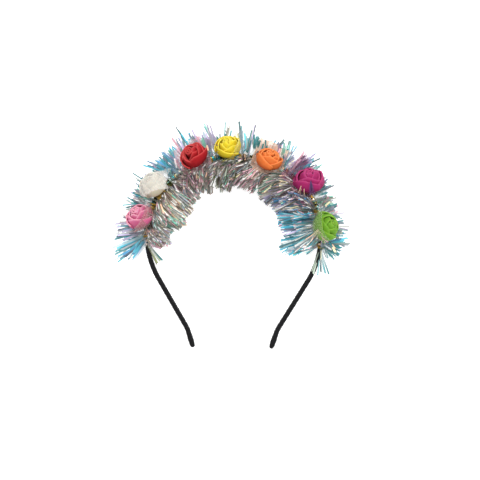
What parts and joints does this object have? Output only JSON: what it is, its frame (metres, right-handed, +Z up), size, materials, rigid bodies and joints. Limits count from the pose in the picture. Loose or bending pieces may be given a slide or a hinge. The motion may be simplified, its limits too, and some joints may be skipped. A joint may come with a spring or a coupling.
{
  "type": "flower crown headband",
  "caption": "Ribbon-covered headband hoop with an iridescent tinsel garland and foam roses in bright colours, each on a small square of tulle.",
  "frame": {"origin": "middle of the object's box, on the surface it lies on", "axes": "+Z up from that surface, towards the side with the roses; +Y from the tips of the hoop towards its crown; +X to the right as the picture shows it"},
  "size_m": [0.1676, 0.1636, 0.0375],
  "materials": {
    "ribbon": "black satin ribbon wound in close turns",
    "tinsel_film": "thin iridescent film, clear with teal, lilac, mint and pink glints",
    "foam_pink": "soft matte foam sheet",
    "foam_white": "soft matte foam sheet",
    "foam_red": "soft matte foam sheet",
    "foam_yellow": "soft matte foam sheet",
    "foam_orange": "soft matte foam sheet",
    "foam_magenta": "soft matte foam sheet",
    "foam_green": "soft matte foam sheet",
    "tulle_pink": "fine open net, half see-through",
    "tulle_white": "fine open net, half see-through",
    "tulle_red": "fine open net, half see-through",
    "tulle_yellow": "fine open net, half see-through",
    "tulle_orange": "fine open net, half see-through",
    "tulle_magenta": "fine open net, half see-through",
    "tulle_green": "fine open net, half see-through"
  },
  "bodies": {
    "root": {"headband": "ribbon", "tinsel_right": "tinsel_film", "tinsel_upper_right": "tinsel_film", "tinsel_upper_left": "tinsel_film", "tinsel_left": "tinsel_film", "rose_pink": "foam_pink", "rose_white": "foam_white", "rose_red": "foam_red", "rose_yellow": "foam_yellow", "rose_orange": "foam_orange", "rose_magenta": "foam_magenta", "rose_green": "foam_green", "tulle_pink": "tulle_pink", "tulle_white": "tulle_white", "tulle_red": "tulle_red", "tulle_yellow": "tulle_yellow", "tulle_orange": "tulle_orange", "tulle_magenta": "tulle_magenta", "tulle_green": "tulle_green"}
  },
  "joints": []
}
